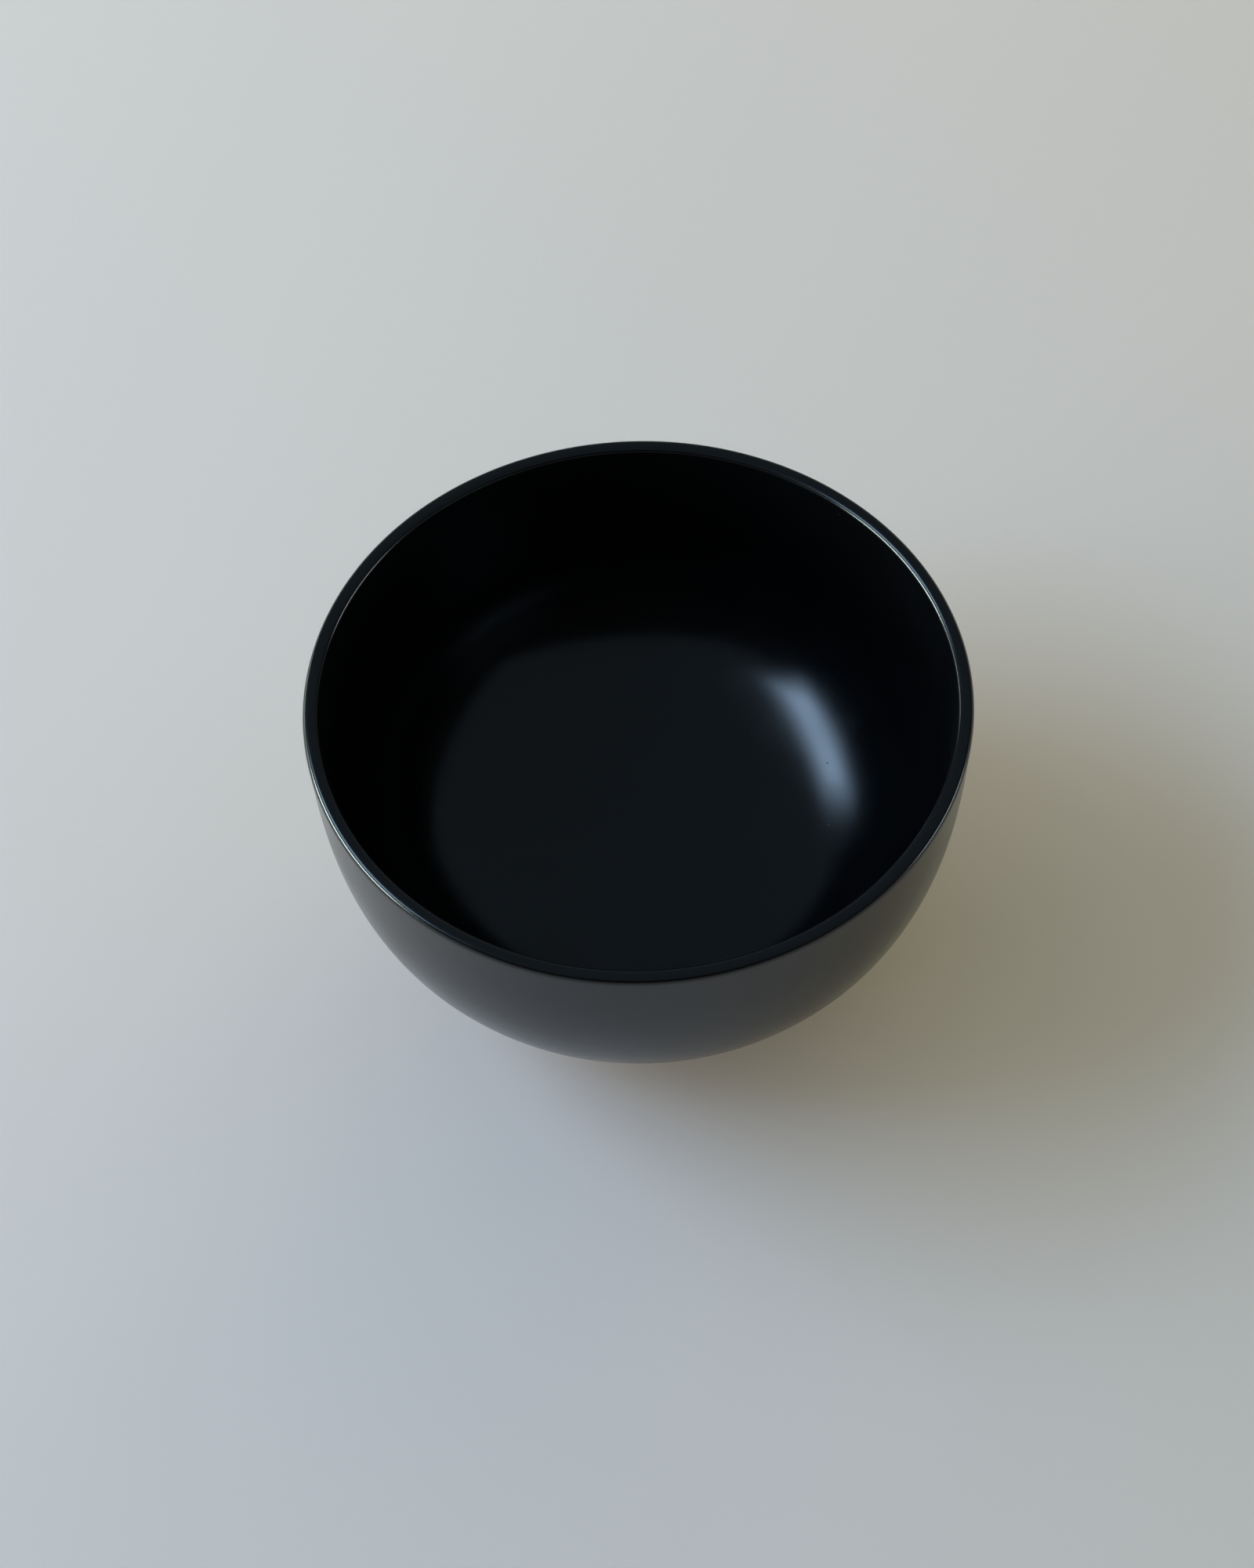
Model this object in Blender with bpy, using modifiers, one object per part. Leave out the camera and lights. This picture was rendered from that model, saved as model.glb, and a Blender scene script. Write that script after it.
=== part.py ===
"""Round rice bowl: a deep turned shell with a flat-topped lip, on a separately made foot ring.

Metres, +Z up. The origin is the centre of the foot's resting face, and Z is the turning axis.
Every outline below is a list of (radius, height) points, which a Screw modifier turns about Z.
"""

from math import acos, cos, degrees, radians, sin, sqrt

import bmesh
import bpy

# Driving dimensions of the bowl as a whole.
RIM_RADIUS = 0.060
BOWL_HEIGHT = 0.061

# Lip: a flat ring between two rounded edges.
LIP_THICKNESS = 0.0029
LIP_INNER_EDGE_RADIUS = 0.0012
LIP_OUTER_EDGE_RADIUS = 0.0011

# Outer wall: it leans inwards by a small angle, and past a short straight stretch the lean
# grows with the square of the distance, until the base arc takes over at the same curvature.
WALL_LEAN = 3.0
WALL_STRAIGHT = 0.0048
LEAN_GROWTH = 22600.0  # degrees for each square metre of distance along the wall
BASE_ARC_LEAN = 35.0

# Inside: a straight wall, a corner arc and a shallow floor arc, each tangent to the next.
INNER_WALL_LEAN = 5.0
INNER_CORNER_RADIUS = 0.032
INNER_CORNER_END = 76.0
INNER_DEPTH = 0.0522

# Foot ring, seated in a shallow groove that is turned into the underside.
FOOT_TOP_RADIUS = 0.0300
FOOT_BOTTOM_RADIUS = 0.0288
FOOT_WALL = 0.0046
FOOT_EDGE_RADIUS = 0.0007
SEAT_DEPTH = 0.0012
SEAT_GAP = 0.0003
UNDERSIDE_CLEARANCE = 0.0053

# Resolution of the turned shapes.
TURN_STEPS = 72
WALL_STEPS = 13
SHARP_ANGLE = 35.0


def clear_scene():
    for obj in list(bpy.data.objects):
        bpy.data.objects.remove(obj, do_unlink=True)


def lean_at(distance):
    """Outer wall's lean from the vertical, in degrees, this far along it below the lip."""
    return WALL_LEAN + LEAN_GROWTH * max(0.0, distance - WALL_STRAIGHT) ** 2


def arc(centre, radius, start, end, steps):
    """Points on an arc of the outline. Angles are in degrees from the outward radial direction."""
    points = []
    for i in range(steps + 1):
        angle = radians(start + (end - start) * i / steps)
        points.append((centre[0] + radius * cos(angle), centre[1] + radius * sin(angle)))
    return points


def inner_wall_length():
    """Length of the inside's straight wall that brings the floor to INNER_DEPTH."""
    lean, end = radians(INNER_WALL_LEAN), radians(INNER_CORNER_END)
    corner = INNER_CORNER_RADIUS
    edge = LIP_INNER_EDGE_RADIUS
    shoulder_drop = edge * (1 - sin(lean))
    mouth_radius = RIM_RADIUS - LIP_THICKNESS + edge * (1 - cos(lean))
    short, long = 0.0, INNER_DEPTH
    for _ in range(40):
        length = (short + long) / 2
        corner_end_radius = mouth_radius - length * sin(lean) - corner * (cos(lean) - cos(end))
        floor_rise = corner_end_radius * (1 - sin(end)) / cos(end)
        depth = shoulder_drop + length * cos(lean) + corner * (sin(end) - sin(lean)) + floor_rise
        if depth < INNER_DEPTH:
            short = length
        else:
            long = length
    return length


def inner_outline():
    """From the middle of the floor, up the inside, to the foot of the lip's inner edge."""
    lean, end = radians(INNER_WALL_LEAN), radians(INNER_CORNER_END)
    edge = LIP_INNER_EDGE_RADIUS
    edge_centre = (RIM_RADIUS - LIP_THICKNESS + edge, BOWL_HEIGHT - edge)
    wall_top = (edge_centre[0] - edge * cos(lean), edge_centre[1] + edge * sin(lean))
    length = inner_wall_length()
    wall_foot = (wall_top[0] - length * sin(lean), wall_top[1] - length * cos(lean))
    corner_centre = (
        wall_foot[0] - INNER_CORNER_RADIUS * cos(lean),
        wall_foot[1] + INNER_CORNER_RADIUS * sin(lean),
    )
    corner = arc(corner_centre, INNER_CORNER_RADIUS, -INNER_CORNER_END, -INNER_WALL_LEAN, 12)
    floor_radius = corner[0][0] / cos(end)
    floor_centre = (0.0, corner[0][1] + floor_radius * sin(end))
    floor = arc(floor_centre, floor_radius, -90.0, -INNER_CORNER_END, 5)
    floor[0] = (0.0, floor[0][1])
    return floor[:-1] + corner


def lip_outline():
    """Over the lip, from its inner rounded edge to its outer one."""
    inner, outer = LIP_INNER_EDGE_RADIUS, LIP_OUTER_EDGE_RADIUS
    inner_centre = (RIM_RADIUS - LIP_THICKNESS + inner, BOWL_HEIGHT - inner)
    outer_centre = (RIM_RADIUS - outer, BOWL_HEIGHT - outer)
    inner_edge = arc(inner_centre, inner, 180.0 - INNER_WALL_LEAN, 90.0, 5)
    outer_edge = arc(outer_centre, outer, 90.0, -WALL_LEAN, 5)
    return inner_edge + outer_edge


def outer_wall_outline(start):
    """Down the outer wall from start, to where the base arc takes over."""
    wall_length = WALL_STRAIGHT + sqrt((BASE_ARC_LEAN - WALL_LEAN) / LEAN_GROWTH)
    fine_steps = 40
    stride = wall_length / (WALL_STEPS * fine_steps)
    radius, height = start
    points = []
    for i in range(WALL_STEPS * fine_steps):
        lean = radians(lean_at((i + 0.5) * stride))
        radius -= stride * sin(lean)
        height -= stride * cos(lean)
        if (i + 1) % fine_steps == 0:
            points.append((radius, height))
    return points


def base_arc_outline(start):
    """On from start in one arc, round to the edge of the foot's groove."""
    radius = degrees(1) / (2 * sqrt((BASE_ARC_LEAN - WALL_LEAN) * LEAN_GROWTH))
    lean = radians(BASE_ARC_LEAN)
    centre = (start[0] - radius * cos(lean), start[1] + radius * sin(lean))
    groove_radius = FOOT_TOP_RADIUS + SEAT_GAP
    end_lean = degrees(acos((groove_radius - centre[0]) / radius))
    return arc(centre, radius, -BASE_ARC_LEAN, -end_lean, 7)[1:]


def groove_outline(outer_edge):
    """Up into the groove that seats the foot ring, across it, and down to the underside."""
    outer_radius, edge_height = outer_edge
    inner_radius = FOOT_TOP_RADIUS - FOOT_WALL - SEAT_GAP
    seat_height = edge_height + SEAT_DEPTH
    return [
        (outer_radius, seat_height),
        (inner_radius, seat_height),
        (inner_radius, UNDERSIDE_CLEARANCE),
        (0.0, UNDERSIDE_CLEARANCE),
    ]


def body_outline():
    inside = inner_outline()
    lip = lip_outline()
    wall = outer_wall_outline(lip[-1])
    base = base_arc_outline(wall[-1])
    return inside + lip + wall + base + groove_outline(base[-1])


def foot_outline(seat_height):
    """Closed outline of the ring: its tapered outside, the resting face, its inside and its top."""
    top = seat_height - SEAT_GAP
    inner = FOOT_TOP_RADIUS - FOOT_WALL
    edge = FOOT_EDGE_RADIUS
    outer_edge = arc((FOOT_BOTTOM_RADIUS - edge, edge), edge, 0.0, -90.0, 4)
    inner_edge = arc((inner + edge, edge), edge, -90.0, -180.0, 4)
    return [(FOOT_TOP_RADIUS, top)] + outer_edge + inner_edge + [(inner, top)]


def material(name, colour, roughness):
    """Principled material of one part. None of the parts is metal."""
    made = bpy.data.materials.new(name)
    made.use_nodes = True
    shader = made.node_tree.nodes["Principled BSDF"]
    shader.inputs["Base Color"].default_value = (*colour, 1.0)
    shader.inputs["Roughness"].default_value = roughness
    shader.inputs["Metallic"].default_value = 0.0
    return made


def turned(name, outline, closed, surface, collection):
    """One part, turned about Z from its outline."""
    mesh = bpy.data.meshes.new(name)
    sketch = bmesh.new()
    corners = [sketch.verts.new((radius, 0.0, height)) for radius, height in outline]
    for first, second in zip(corners, corners[1:]):
        sketch.edges.new((first, second))
    if closed:
        sketch.edges.new((corners[-1], corners[0]))
    sketch.to_mesh(mesh)
    sketch.free()

    part = bpy.data.objects.new(name, mesh)
    collection.objects.link(part)
    screw = part.modifiers.new("Turn", "SCREW")
    screw.axis = "Z"
    screw.steps = TURN_STEPS
    screw.render_steps = TURN_STEPS
    screw.use_merge_vertices = True
    screw.merge_threshold = 0.00001

    bpy.context.view_layer.update()
    graph = bpy.context.evaluated_depsgraph_get()
    part.data = bpy.data.meshes.new_from_object(part.evaluated_get(graph))
    part.data.name = name
    part.modifiers.clear()
    bpy.data.meshes.remove(mesh)
    part.data.shade_smooth()
    part.data.set_sharp_from_angle(angle=radians(SHARP_ANGLE))
    part.data.materials.clear()
    part.data.materials.append(surface)
    return part


def main():
    clear_scene()
    rice_bowl = bpy.data.collections.new("rice_bowl")
    bpy.context.scene.collection.children.link(rice_bowl)

    outline = body_outline()
    seat_height = outline[-4][1]
    body_coat = material("body_coat", (0.010, 0.011, 0.013), 0.24)
    foot_coat = material("foot_coat", (0.012, 0.012, 0.013), 0.34)
    turned("bowl_body", outline, False, body_coat, rice_bowl)
    turned("foot_ring", foot_outline(seat_height), True, foot_coat, rice_bowl)


main()
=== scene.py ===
"""Looks of the rice bowl: a satin black coat on a turned body and its foot ring.

Metres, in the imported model's frame: Z is the turning axis, and the foot rests at height 0.
Outlines are lists of (radius, height) points, which lathe() turns about Z.
"""

from math import acos, cos, degrees, pi, radians, sin, sqrt, tan

import bmesh
import bpy
from mathutils import Matrix, Vector, noise


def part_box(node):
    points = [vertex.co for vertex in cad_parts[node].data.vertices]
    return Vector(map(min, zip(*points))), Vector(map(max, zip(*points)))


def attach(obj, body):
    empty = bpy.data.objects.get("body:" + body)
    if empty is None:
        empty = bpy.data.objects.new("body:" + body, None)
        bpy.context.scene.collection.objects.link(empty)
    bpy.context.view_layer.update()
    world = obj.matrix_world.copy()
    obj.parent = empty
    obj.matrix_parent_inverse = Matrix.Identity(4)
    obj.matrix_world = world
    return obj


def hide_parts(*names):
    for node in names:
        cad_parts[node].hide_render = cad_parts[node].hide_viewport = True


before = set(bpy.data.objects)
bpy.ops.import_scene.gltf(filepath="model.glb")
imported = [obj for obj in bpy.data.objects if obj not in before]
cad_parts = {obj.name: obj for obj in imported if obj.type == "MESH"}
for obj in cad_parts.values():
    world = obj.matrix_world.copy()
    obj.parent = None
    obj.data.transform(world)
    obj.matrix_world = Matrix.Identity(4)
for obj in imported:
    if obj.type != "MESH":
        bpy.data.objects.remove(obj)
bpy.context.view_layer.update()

MM = 0.001

# The bowl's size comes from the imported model.
RIM_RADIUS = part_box("bowl_body")[1].x
BOWL_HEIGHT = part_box("bowl_body")[1].z
UNDERSIDE_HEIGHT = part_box("bowl_body")[0].z
FOOT_TOP_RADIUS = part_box("foot_ring")[1].x
FOOT_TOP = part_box("foot_ring")[1].z

LIP_THICKNESS = 2.9 * MM
LIP_INNER_EDGE_RADIUS = 1.2 * MM
LIP_OUTER_EDGE_RADIUS = 1.1 * MM

WALL_LEAN = 3.0
WALL_STRAIGHT = 4.8 * MM
LEAN_GROWTH = 22600.0  # degrees for each square metre of distance along the wall
BASE_ARC_LEAN = 35.0

INNER_WALL_LEAN = 5.0
INNER_CORNER_RADIUS = 32.0 * MM
INNER_CORNER_END = 76.0
INNER_DEPTH = 52.2 * MM

FOOT_BOTTOM_RADIUS = 28.8 * MM
FOOT_WALL = 4.6 * MM
FOOT_EDGE_RADIUS = 0.7 * MM
SEAM_GAP = 0.03 * MM
SKIRT_RADIUS = 1.1 * MM  # of the fillet that the coat makes where the foot meets the body
SKIRT_INSET = 0.45 * MM  # how far inside the foot's top edge the fillet ends
TURN_STEPS = 320
RUBBED_DEPTH = 0.02 * MM  # how far hand rubbing leaves the surface off a true round
RUBBED_SPACING = 26 * MM

# Coat. Scales are in features to a metre.
COAT_IOR = 1.5
MOTTLE_SCALE = 90.0
GLOSS_VARIATION = 0.02
NIB_SCALE = 190.0
NIB_SIZE = 0.035  # as a share of the nibs' spacing
NIB_HEIGHT = 0.03 * MM
ORANGE_PEEL_SCALE = 750.0
ORANGE_PEEL_DEPTH = 0.0015 * MM
WEAR_SCALE = 900.0
WEAR_ROUGHNESS = 0.3
WORN_COLOUR = (0.020, 0.020, 0.020, 1.0)
BODY_WORN_HEIGHT = 0.001 * MM  # below all of the body, so none of it is worn
FOOT_WORN_HEIGHT = 0.5 * MM

# Where the camera stands, seen from the centre of the lip's plane.
CAMERA_ELEVATION = 53.79
CAMERA_DISTANCE = 5.539 * 2 * RIM_RADIUS
CAMERA_ROLL = -2.025
LIP_CENTRE_RIGHT = 0.1645  # degrees between the view's middle and the lip's centre
LIP_CENTRE_UP = 1.348
LENS = 85.43


# Outlines


def lean_at(distance):
    """Outer wall's lean from the vertical, in degrees, this far along it below the lip."""
    return WALL_LEAN + LEAN_GROWTH * max(0.0, distance - WALL_STRAIGHT) ** 2


def arc(centre, radius, start, end, steps):
    """Points on an arc. Angles are in degrees from the outward radial direction."""
    points = []
    for i in range(steps + 1):
        angle = radians(start + (end - start) * i / steps)
        points.append((centre[0] + radius * cos(angle), centre[1] + radius * sin(angle)))
    return points


def straight(start, end, steps):
    """Points between start and end, without the two ends."""
    shares = [i / steps for i in range(1, steps)]
    return [tuple(a + (b - a) * share for a, b in zip(start, end)) for share in shares]


def inner_wall_length():
    """Length of the inside's straight wall that brings the floor to INNER_DEPTH."""
    lean, end = radians(INNER_WALL_LEAN), radians(INNER_CORNER_END)
    corner = INNER_CORNER_RADIUS
    edge = LIP_INNER_EDGE_RADIUS
    shoulder_drop = edge * (1 - sin(lean))
    mouth_radius = RIM_RADIUS - LIP_THICKNESS + edge * (1 - cos(lean))
    short, long = 0.0, INNER_DEPTH
    for _ in range(40):
        length = (short + long) / 2
        corner_end_radius = mouth_radius - length * sin(lean) - corner * (cos(lean) - cos(end))
        floor_rise = corner_end_radius * (1 - sin(end)) / cos(end)
        depth = shoulder_drop + length * cos(lean) + corner * (sin(end) - sin(lean)) + floor_rise
        if depth < INNER_DEPTH:
            short = length
        else:
            long = length
    return length


def inner_outline():
    """From the middle of the floor, up the inside, to the foot of the lip's inner edge."""
    lean, end = radians(INNER_WALL_LEAN), radians(INNER_CORNER_END)
    edge = LIP_INNER_EDGE_RADIUS
    edge_centre = (RIM_RADIUS - LIP_THICKNESS + edge, BOWL_HEIGHT - edge)
    wall_top = (edge_centre[0] - edge * cos(lean), edge_centre[1] + edge * sin(lean))
    length = inner_wall_length()
    wall_foot = (wall_top[0] - length * sin(lean), wall_top[1] - length * cos(lean))
    corner_centre = (
        wall_foot[0] - INNER_CORNER_RADIUS * cos(lean),
        wall_foot[1] + INNER_CORNER_RADIUS * sin(lean),
    )
    corner = arc(corner_centre, INNER_CORNER_RADIUS, -INNER_CORNER_END, -INNER_WALL_LEAN, 44)
    floor_radius = corner[0][0] / cos(end)
    floor_centre = (0.0, corner[0][1] + floor_radius * sin(end))
    floor = arc(floor_centre, floor_radius, -90.0, -INNER_CORNER_END, 26)
    floor[0] = (0.0, floor[0][1])
    return floor[:-1] + corner + straight(corner[-1], wall_top, 8)


def lip_outline():
    """Over the lip, from its inner rounded edge to its outer one."""
    inner, outer = LIP_INNER_EDGE_RADIUS, LIP_OUTER_EDGE_RADIUS
    inner_centre = (RIM_RADIUS - LIP_THICKNESS + inner, BOWL_HEIGHT - inner)
    outer_centre = (RIM_RADIUS - outer, BOWL_HEIGHT - outer)
    inner_edge = arc(inner_centre, inner, 180.0 - INNER_WALL_LEAN, 90.0, 12)
    outer_edge = arc(outer_centre, outer, 90.0, -WALL_LEAN, 12)
    return inner_edge + straight(inner_edge[-1], outer_edge[0], 6) + outer_edge


def outer_wall_outline(start):
    """Down the outer wall from start, to where the base arc takes over."""
    wall_length = WALL_STRAIGHT + sqrt((BASE_ARC_LEAN - WALL_LEAN) / LEAN_GROWTH)
    fine_steps = 12
    points_kept = 46
    stride = wall_length / (points_kept * fine_steps)
    radius, height = start
    points = []
    for i in range(points_kept * fine_steps):
        lean = radians(lean_at((i + 0.5) * stride))
        radius -= stride * sin(lean)
        height -= stride * cos(lean)
        if (i + 1) % fine_steps == 0:
            points.append((radius, height))
    return points


def foot_radius_at(height):
    """Radius of the foot's tapered outside at this height."""
    share = (height - FOOT_EDGE_RADIUS) / (FOOT_TOP - FOOT_EDGE_RADIUS)
    return FOOT_BOTTOM_RADIUS + (FOOT_TOP_RADIUS - FOOT_BOTTOM_RADIUS) * share


def base_outline(start):
    """On from start in one arc, then in a fillet down the foot's outside."""
    base_radius = degrees(1) / (2 * sqrt((BASE_ARC_LEAN - WALL_LEAN) * LEAN_GROWTH))
    lean = radians(BASE_ARC_LEAN)
    centre = (start[0] - base_radius * cos(lean), start[1] + base_radius * sin(lean))
    skirt_centre_radius = FOOT_TOP_RADIUS - SKIRT_INSET + SKIRT_RADIUS
    reach = base_radius + SKIRT_RADIUS
    end_lean = degrees(acos((skirt_centre_radius - centre[0]) / reach))
    base = arc(centre, base_radius, -BASE_ARC_LEAN, -end_lean, 26)[1:]
    skirt_centre = (skirt_centre_radius, centre[1] - reach * sin(radians(end_lean)))
    skirt = arc(skirt_centre, SKIRT_RADIUS, 180.0 - end_lean, 180.0, 8)[1:]
    return base + skirt


def groove_outline(skirt_end):
    """Up along the foot ring's outside, across its seat, and down to the underside's middle."""
    seat = FOOT_TOP + SEAM_GAP
    inner_radius = FOOT_TOP_RADIUS - FOOT_WALL - SEAM_GAP
    inner_skirt_centre = (inner_radius - SKIRT_RADIUS, UNDERSIDE_HEIGHT - SKIRT_RADIUS)
    inner_skirt = arc(inner_skirt_centre, SKIRT_RADIUS, 0.0, 90.0, 8)
    mouth = (foot_radius_at(skirt_end[1]) + SEAM_GAP, skirt_end[1])
    top = (FOOT_TOP_RADIUS + SEAM_GAP, seat)
    across = (inner_radius, seat)
    middle = (0.0, UNDERSIDE_HEIGHT)
    return (
        [mouth]
        + straight(mouth, top, 3)
        + [top]
        + straight(top, across, 4)
        + [across]
        + inner_skirt
        + straight(inner_skirt[-1], middle, 16)
        + [middle]
    )


def body_outline():
    lip = lip_outline()
    wall = outer_wall_outline(lip[-1])
    base = base_outline(wall[-1])
    return inner_outline() + lip + wall + base + groove_outline(base[-1])


def foot_outline():
    """Closed outline of the ring: its tapered outside, the resting face, its inside and its top."""
    inner = FOOT_TOP_RADIUS - FOOT_WALL
    edge = FOOT_EDGE_RADIUS
    top_outer = (FOOT_TOP_RADIUS, FOOT_TOP)
    top_inner = (inner, FOOT_TOP)
    outer_edge = arc((FOOT_BOTTOM_RADIUS - edge, edge), edge, 0.0, -90.0, 8)
    inner_edge = arc((inner + edge, edge), edge, -90.0, -180.0, 8)
    return (
        [top_outer]
        + straight(top_outer, outer_edge[0], 8)
        + outer_edge
        + straight(outer_edge[-1], inner_edge[0], 6)
        + inner_edge
        + straight(inner_edge[-1], top_inner, 8)
        + [top_inner]
        + straight(top_inner, top_outer, 6)
    )


# Meshes


def rubbed(point):
    """Moves a point along its radius by the slight unevenness that hand rubbing leaves."""
    offset = RUBBED_DEPTH * noise.noise(point / RUBBED_SPACING)
    reach = sqrt(point.x**2 + point.y**2)
    share = 1 + offset / max(reach, 5 * MM)
    return Vector((point.x * share, point.y * share, point.z))


def lathe(name, outline, closed):
    """Turns an outline about Z into a smooth closed mesh."""
    sketch = bmesh.new()
    rings = []
    for radius, height in outline:
        steps = 1 if radius < 1e-9 else TURN_STEPS
        ring = []
        for step in range(steps):
            angle = 2 * pi * step / TURN_STEPS
            point = Vector((radius * cos(angle), radius * sin(angle), height))
            ring.append(sketch.verts.new(rubbed(point)))
        rings.append(ring)
    pairs = list(zip(rings, rings[1:]))
    if closed:
        pairs.append((rings[-1], rings[0]))
    for upper, lower in pairs:
        for step in range(TURN_STEPS):
            after = (step + 1) % TURN_STEPS
            if len(upper) == 1:
                corners = (upper[0], lower[step], lower[after])
            elif len(lower) == 1:
                corners = (upper[step], lower[0], upper[after])
            else:
                corners = (upper[step], lower[step], lower[after], upper[after])
            sketch.faces.new(corners)
    bmesh.ops.recalc_face_normals(sketch, faces=sketch.faces)
    mesh = bpy.data.meshes.new(name)
    sketch.to_mesh(mesh)
    sketch.free()
    mesh.shade_smooth()
    piece = bpy.data.objects.new(name, mesh)
    bpy.context.scene.collection.objects.link(piece)
    return piece


# Materials


class Nodes:
    """Short ways to add and link the nodes of one material."""

    def __init__(self, name):
        self.material = bpy.data.materials.new(name)
        self.material.use_nodes = True
        self.tree = self.material.node_tree
        self.shader = self.tree.nodes["Principled BSDF"]
        coordinates = self.tree.nodes.new("ShaderNodeTexCoord")
        self.place = coordinates.outputs["Object"]

    def put(self, value, socket):
        """Links value to the socket if it is an output, and otherwise sets it there."""
        if isinstance(value, bpy.types.NodeSocket):
            self.tree.links.new(value, socket)
        else:
            socket.default_value = value

    def noise(self, scale, detail=2.0):
        node = self.tree.nodes.new("ShaderNodeTexNoise")
        self.put(self.place, node.inputs["Vector"])
        node.inputs["Scale"].default_value = scale
        node.inputs["Detail"].default_value = detail
        return node.outputs["Fac"]

    def spots(self, scale):
        """Distance from the nearest of the points scattered this many to a metre."""
        node = self.tree.nodes.new("ShaderNodeTexVoronoi")
        self.put(self.place, node.inputs["Vector"])
        node.inputs["Scale"].default_value = scale
        return node.outputs["Distance"]

    def ramp(self, value, start, end, low, high):
        """Maps value from start..end to low..high, and holds it there beyond."""
        node = self.tree.nodes.new("ShaderNodeMapRange")
        node.interpolation_type = "SMOOTHSTEP"
        self.put(value, node.inputs["Value"])
        sockets = ("From Min", "From Max", "To Min", "To Max")
        for socket, number in zip(sockets, (start, end, low, high)):
            self.put(number, node.inputs[socket])
        return node.outputs["Result"]

    def math(self, operation, *values):
        node = self.tree.nodes.new("ShaderNodeMath")
        node.operation = operation
        for value, socket in zip(values, node.inputs):
            self.put(value, socket)
        return node.outputs["Value"]

    def mix(self, share, first, second):
        node = self.tree.nodes.new("ShaderNodeMix")
        node.data_type = "RGBA"
        self.put(share, node.inputs["Factor"])
        self.put(first, node.inputs["A"])
        self.put(second, node.inputs["B"])
        return node.outputs["Result"]

    def height(self):
        split = self.tree.nodes.new("ShaderNodeSeparateXYZ")
        self.put(self.place, split.inputs["Vector"])
        return split.outputs["Z"]

    def bump(self, value, distance):
        """Bump whose full height is distance, in metres, over any bump added before it."""
        node = self.tree.nodes.new("ShaderNodeBump")
        node.inputs["Distance"].default_value = distance
        self.put(value, node.inputs["Height"])
        normal = self.shader.inputs["Normal"]
        if normal.is_linked:
            self.put(normal.links[0].from_socket, node.inputs["Normal"])
        self.put(node.outputs["Normal"], normal)


def coat(name, colour, dust, roughness, worn_height):
    """Satin black coat: faintly mottled gloss, orange peel, and a few dust nibs under the surface.

    Below worn_height the coat is rubbed dull, as a foot's resting face is.
    """
    nodes = Nodes(name)
    shader = nodes.shader
    shader.inputs["IOR"].default_value = COAT_IOR
    mottle = nodes.noise(MOTTLE_SCALE, 3.0)
    nibs = nodes.ramp(nodes.spots(NIB_SCALE), 0.0, NIB_SIZE, 1.0, 0.0)
    tint = nodes.mix(nibs, colour, dust)
    gloss = nodes.ramp(mottle, 0.3, 0.7, roughness - GLOSS_VARIATION, roughness + GLOSS_VARIATION)
    wear = nodes.ramp(nodes.height(), 0.0, worn_height, 1.0, 0.0)
    wear_patches = nodes.ramp(nodes.noise(WEAR_SCALE, 4.0), 0.35, 0.6, 0.3, 1.0)
    patchy = nodes.math("MULTIPLY", wear, wear_patches)
    nodes.put(nodes.mix(patchy, tint, WORN_COLOUR), shader.inputs["Base Color"])
    nodes.put(nodes.math("MULTIPLY_ADD", patchy, WEAR_ROUGHNESS, gloss), shader.inputs["Roughness"])
    nodes.bump(nodes.noise(ORANGE_PEEL_SCALE, 1.0), ORANGE_PEEL_DEPTH)
    nodes.bump(nibs, NIB_HEIGHT)
    return nodes.material


def floor_surface():
    nodes = Nodes("floor_surface")
    nodes.shader.inputs["Base Color"].default_value = (0.77, 0.77, 0.77, 1.0)
    nodes.shader.inputs["Roughness"].default_value = 0.7
    nodes.shader.inputs["Specular IOR Level"].default_value = 0.2
    return nodes.material


# Stage


def direction(azimuth, elevation):
    """Unit vector: azimuth in degrees from +X towards +Y, elevation above the horizon."""
    across = cos(radians(elevation))
    return Vector((
        across * cos(radians(azimuth)),
        across * sin(radians(azimuth)),
        sin(radians(elevation)),
    ))


def panel(name, centre, target, size, colour, radiance):
    """Rectangular soft light of an even radiance, facing target."""
    light = bpy.data.lights.new(name, "AREA")
    light.shape = "RECTANGLE"
    light.size, light.size_y = size
    light.color = colour
    light.energy = radiance * pi * size[0] * size[1]
    lamp = bpy.data.objects.new(name, light)
    lamp.location = centre
    lamp.rotation_euler = (target - centre).to_track_quat("-Z", "Y").to_euler()
    lamp.visible_camera = False
    bpy.context.scene.collection.objects.link(lamp)
    return lamp


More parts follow.
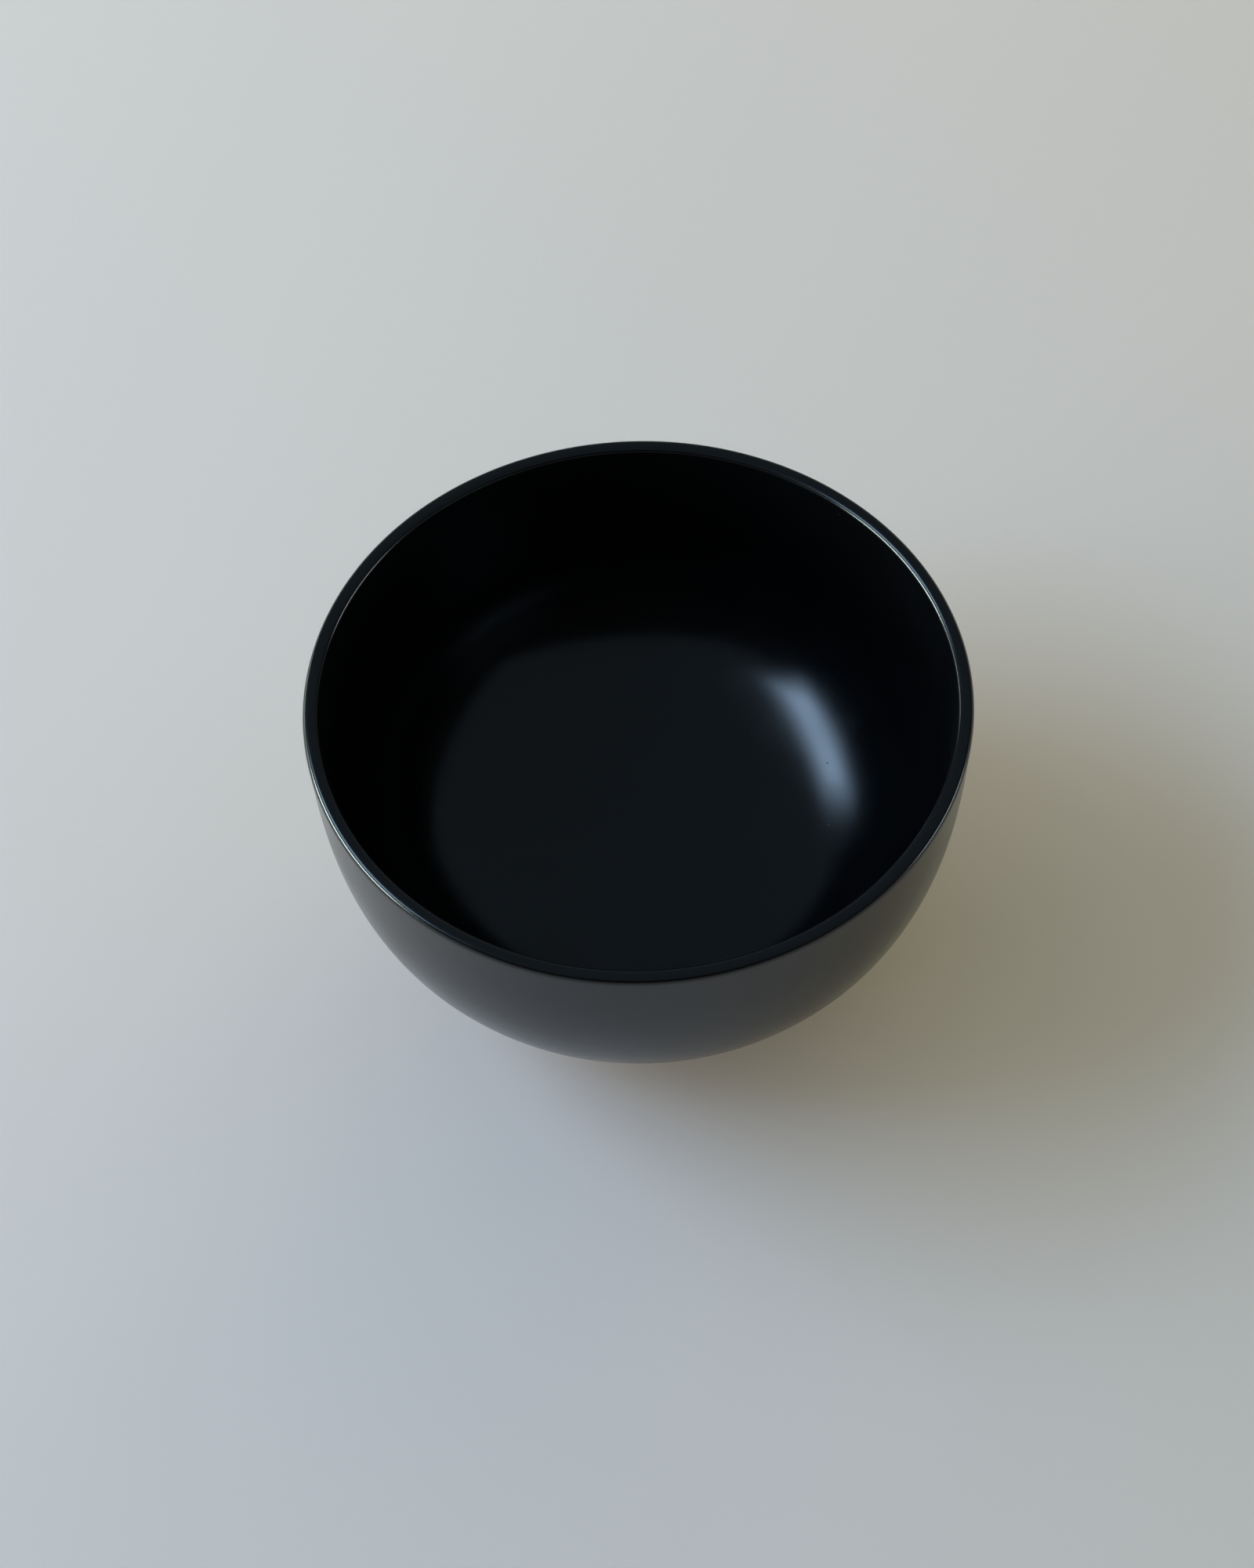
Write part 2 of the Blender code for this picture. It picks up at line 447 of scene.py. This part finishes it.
def lights():
    """A window on the left over low bright strips, a strip on the right, fills, and a ceiling."""
    middle = Vector((0.0, 0.0, BOWL_HEIGHT))

    # The sky in the window is brightest in the middle, so three panels add up there.
    sky = (0.69, 1.0, 1.41)
    for distance, size, radiance in (
        (1.20, (1.06, 0.50), 1.05),
        (1.19, (0.92, 0.37), 1.80),
        (1.18, (0.72, 0.22), 3.65),
    ):
        panel("window", middle + distance * direction(173, 41), middle, size, sky, radiance)

    # These strips stand too low to shine into the bowl, and show along the lip's edges. The left
    # ones are hidden from matt surfaces, so that they don't light the floor.
    for azimuth, distance, length, radiance in ((180, 1.60, 1.15, 30.0), (168, 1.62, 2.1, 4.5)):
        place = middle + distance * direction(azimuth, 7)
        strip = panel("left_strip", place, middle, (length, 0.25), (0.82, 1.0, 0.94), radiance)
        strip.visible_diffuse = False
    panel("right_strip", middle + 2.4 * direction(3, 6), middle, (1.1, 0.3), (0.90, 1.0, 1.06), 7.5)

    # Warm fills, which light the floor and leave the gloss of the bowl alone.
    for name, azimuth, elevation, distance, size, colour, radiance in (
        ("left_fill", 165, 10.5, 2.4, (4.8, 0.8), (1.15, 1.0, 0.86), 7.0),
        ("back_fill", 70, 10.5, 2.4, (4.8, 0.8), (1.25, 1.0, 0.41), 4.8),
        ("front_fill", -90, 12.0, 1.2, (2.4, 0.4), (1.3, 1.0, 0.5), 0.6),
    ):
        place = middle + distance * direction(azimuth, elevation)
        fill = panel(name, place, middle, size, colour, radiance)
        fill.visible_glossy = False

    # The ceiling fades towards its edges, so two panels add up in its middle. Their edges are given
    # as multiples of their height.
    for height, left, right, front, back in (
        (1.50, -1.1, 1.42, -1.0, 3.8),
        (1.49, -0.8, 1.35, -1.0, 2.9),
    ):
        centre = Vector(((left + right) / 2, (front + back) / 2, 1.0)) * height
        size = ((right - left) * height, (back - front) * height)
        below = Vector((centre.x, centre.y, 0.0))
        panel("ceiling", centre, below, size, (0.72, 1.0, 1.24), 0.075)


def surroundings():
    """A pale band round the horizon, and a dim room above it."""
    world = bpy.data.worlds.new("studio")
    bpy.context.scene.world = world
    world.use_nodes = True
    tree = world.node_tree
    place = tree.nodes.new("ShaderNodeTexCoord")
    split = tree.nodes.new("ShaderNodeSeparateXYZ")
    band = tree.nodes.new("ShaderNodeMapRange")
    band.inputs["From Min"].default_value = sin(radians(12))
    band.inputs["From Max"].default_value = sin(radians(20))
    band.inputs["To Min"].default_value = 0.18
    band.inputs["To Max"].default_value = 0.015
    tree.links.new(place.outputs["Generated"], split.inputs["Vector"])
    tree.links.new(split.outputs["Z"], band.inputs["Value"])
    tree.links.new(band.outputs["Result"], tree.nodes["Background"].inputs["Strength"])
    tree.nodes["Background"].inputs["Color"].default_value = (0.95, 0.98, 1.0, 1.0)


def floor():
    sketch = bmesh.new()
    bmesh.ops.create_grid(sketch, x_segments=8, y_segments=8, size=6.0)
    mesh = bpy.data.meshes.new("floor")
    sketch.to_mesh(mesh)
    sketch.free()
    mesh.materials.append(floor_surface())
    ground = bpy.data.objects.new("floor", mesh)
    bpy.context.scene.collection.objects.link(ground)


def camera():
    """Looks down at the bowl from the front, with the lip's centre a little off the view's middle."""
    place = CAMERA_DISTANCE * direction(-90, CAMERA_ELEVATION)
    back = place.normalized()
    right = Vector((1.0, 0.0, 0.0))
    up = back.cross(right)
    level = Matrix((right, up, back)).transposed()
    centre_seen = Vector((tan(radians(LIP_CENTRE_RIGHT)), tan(radians(LIP_CENTRE_UP)), -1.0))
    turn = centre_seen.rotation_difference(Vector((0.0, 0.0, -1.0))).to_matrix()
    roll = Matrix.Rotation(radians(CAMERA_ROLL), 3, "Z")
    data = bpy.data.cameras.new("camera")
    data.lens = LENS
    data.sensor_width = 36.0
    data.clip_start = 0.01
    viewer = bpy.data.objects.new("camera", data)
    lip_centre = Vector((0.0, 0.0, BOWL_HEIGHT))
    turned = (level @ roll @ turn).to_4x4()
    viewer.matrix_world = Matrix.Translation(lip_centre + place) @ turned
    bpy.context.scene.collection.objects.link(viewer)
    bpy.context.scene.camera = viewer


def dress(piece, surface, node):
    """Gives a piece its material, and puts it in the place of its CAD node."""
    piece.data.materials.append(surface)
    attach(piece, "root")
    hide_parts(node)


camera()
body = lathe("lacquered_body", body_outline(), closed=False)
foot = lathe("lacquered_foot", foot_outline(), closed=True)
black = (0.0014, 0.0020, 0.0027, 1.0)
dusty = (0.035, 0.035, 0.038, 1.0)
body_coat = coat("body_coat", black, dusty, 0.20, BODY_WORN_HEIGHT)
foot_coat = coat("foot_coat", black, dusty, 0.24, FOOT_WORN_HEIGHT)
dress(body, body_coat, "bowl_body")
dress(foot, foot_coat, "foot_ring")
floor()
lights()
surroundings()
bpy.context.scene.view_settings.view_transform = "Standard"
